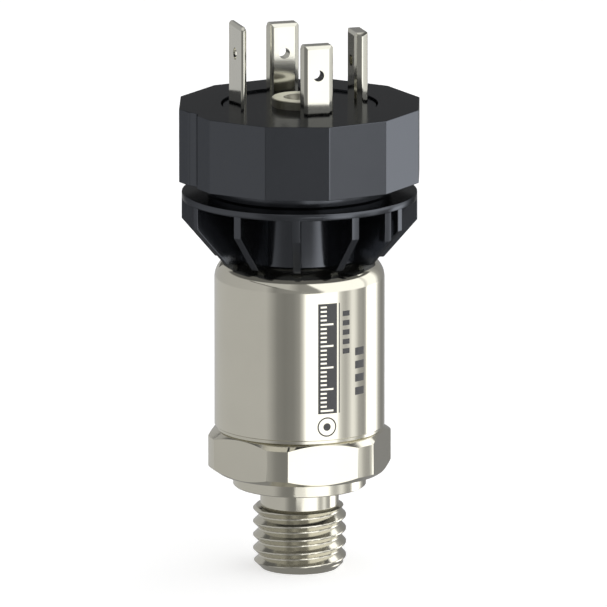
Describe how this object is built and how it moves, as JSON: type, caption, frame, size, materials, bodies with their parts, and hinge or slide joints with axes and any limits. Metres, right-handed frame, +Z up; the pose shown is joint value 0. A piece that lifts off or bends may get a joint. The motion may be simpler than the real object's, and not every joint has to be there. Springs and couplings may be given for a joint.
{
  "type": "pressure transmitter",
  "caption": "Pressure transmitter: steel body with a screwed pressure stud and hexagon, ribbed plastic collar and a twelve-sided plug head with flat contact blades.",
  "frame": {"origin": "centre of the stud's end face, on the axis, at the bottom of the part's box", "axes": "+Z up the axis from the screwed stud towards the contact blades; -Y towards the viewer of the picture"},
  "size_m": [0.0338, 0.0338, 0.0787],
  "materials": {
    "turned_steel": "turned and lightly brushed stainless steel",
    "drawn_steel": "drawn and polished stainless steel",
    "black_plastic": "satin black moulding",
    "contact_nickel": "nickel plate on brass",
    "seal_rubber": "smooth black elastomer",
    "cell_ceramic": "matt alumina",
    "inner_plastic": "natural moulding",
    "board_laminate": "green solder mask",
    "chip_plastic": "moulded package",
    "wire_sleeve": "soft insulation"
  },
  "bodies": {
    "root": {"process_connection": "turned_steel", "profile_seal": "seal_rubber", "housing_shell": "drawn_steel", "ceramic_cell": "cell_ceramic", "cell_seal": "seal_rubber", "cell_support_ring": "inner_plastic", "board_holder": "inner_plastic", "circuit_board": "board_laminate", "cell_pins": "contact_nickel", "amplifier_chip": "chip_plastic", "board_capacitors": "cell_ceramic", "ribbed_collar": "black_plastic", "shell_seal": "seal_rubber", "lock_ring": "turned_steel", "neck_seal": "seal_rubber", "twelve_sided_head": "black_plastic", "contact_carrier": "black_plastic", "threaded_insert": "contact_nickel", "contact_blade_1": "contact_nickel", "contact_blade_2": "contact_nickel", "contact_blade_3": "contact_nickel", "earth_blade": "contact_nickel", "contact_wire_1": "wire_sleeve", "contact_wire_2": "wire_sleeve", "contact_wire_3": "wire_sleeve", "earth_wire": "wire_sleeve"}
  },
  "joints": []
}
